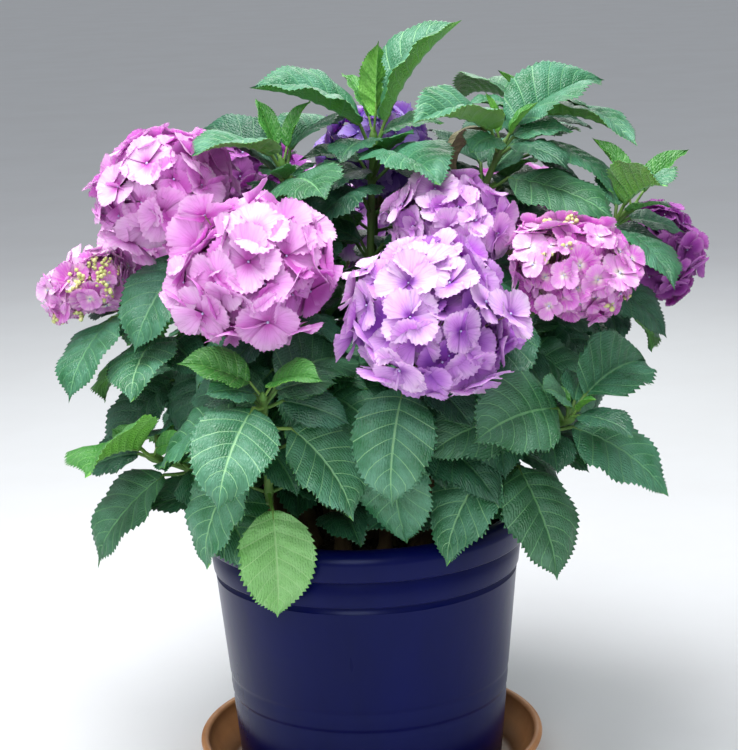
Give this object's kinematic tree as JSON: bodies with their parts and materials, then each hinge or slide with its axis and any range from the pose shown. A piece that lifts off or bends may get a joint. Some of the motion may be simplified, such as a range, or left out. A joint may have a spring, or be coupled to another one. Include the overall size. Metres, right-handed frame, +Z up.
{
  "type": "potted hydrangea shrub",
  "caption": "Mophead hydrangea shrub in leaf and flower, rooted in a round lipped patio pot that stands in a shallow saucer.",
  "frame": {"origin": "the middle of the saucer's flat underside, on the ground", "axes": "+Z up along the pot's axis; -Y towards the side that faces the viewer in the picture; +X to the viewer's right"},
  "size_m": [0.6919, 0.6512, 0.8027],
  "materials": {
    "pot_plastic": "satin",
    "saucer_plastic": "satin",
    "potting_soil": "matte",
    "cane_bark": "matte",
    "leaf_green": "satin",
    "petals_pink": "matte",
    "petals_lilac": "matte",
    "petals_purple": "matte",
    "petals_violet": "matte",
    "petals_rose": "matte",
    "petals_magenta": "matte"
  },
  "bodies": {
    "root": {"saucer": "saucer_plastic", "pot": "pot_plastic", "potting_soil": "potting_soil", "cane_back_left_pink": "cane_bark", "cane_back_middle_purple": "cane_bark", "cane_back_right_pink": "cane_bark", "cane_far_right_leafy": "cane_bark", "cane_front_left_leafy": "cane_bark", "cane_front_pink": "cane_bark", "cane_front_purple": "cane_bark", "cane_front_right_leafy": "cane_bark", "cane_low_back_leafy": "cane_bark", "cane_low_left_leafy": "cane_bark", "cane_low_rear_left_leafy": "cane_bark", "cane_rear_left_magenta": "cane_bark", "cane_rear_middle_violet": "cane_bark", "cane_rear_right_leafy": "cane_bark", "cane_right_pink": "cane_bark", "cane_right_rear_magenta": "cane_bark", "cane_small_left_pink": "cane_bark", "cane_top_left_leafy": "cane_bark", "cane_top_middle_leafy": "cane_bark", "cane_top_right_leafy": "cane_bark", "cane_upper_left_pink": "cane_bark", "cane_upper_middle_lilac": "cane_bark", "leaves_back_left_pink": "leaf_green", "leaves_back_middle_purple": "leaf_green", "leaves_back_right_pink": "leaf_green", "leaves_far_right_leafy": "leaf_green", "leaves_front_left_leafy": "leaf_green", "leaves_front_pink": "leaf_green", "leaves_front_purple": "leaf_green", "leaves_front_right_leafy": "leaf_green", "leaves_low_back_leafy": "leaf_green", "leaves_low_left_leafy": "leaf_green", "leaves_low_rear_left_leafy": "leaf_green", "leaves_rear_left_magenta": "leaf_green", "leaves_rear_middle_violet": "leaf_green", "leaves_rear_right_leafy": "leaf_green", "leaves_right_pink": "leaf_green", "leaves_right_rear_magenta": "leaf_green", "leaves_small_left_pink": "leaf_green", "leaves_top_left_leafy": "leaf_green", "leaves_top_middle_leafy": "leaf_green", "leaves_top_right_leafy": "leaf_green", "leaves_upper_left_pink": "leaf_green", "leaves_upper_middle_lilac": "leaf_green", "flowers_back_left_pink": "petals_pink", "flowers_back_middle_purple": "petals_purple", "flowers_back_right_pink": "petals_rose", "flowers_front_pink": "petals_pink", "flowers_front_purple": "petals_purple", "flowers_rear_left_magenta": "petals_magenta", "flowers_rear_middle_violet": "petals_violet", "flowers_right_pink": "petals_rose", "flowers_right_rear_magenta": "petals_magenta", "flowers_small_left_pink": "petals_pink", "flowers_upper_left_pink": "petals_pink", "flowers_upper_middle_lilac": "petals_lilac"}
  },
  "joints": []
}
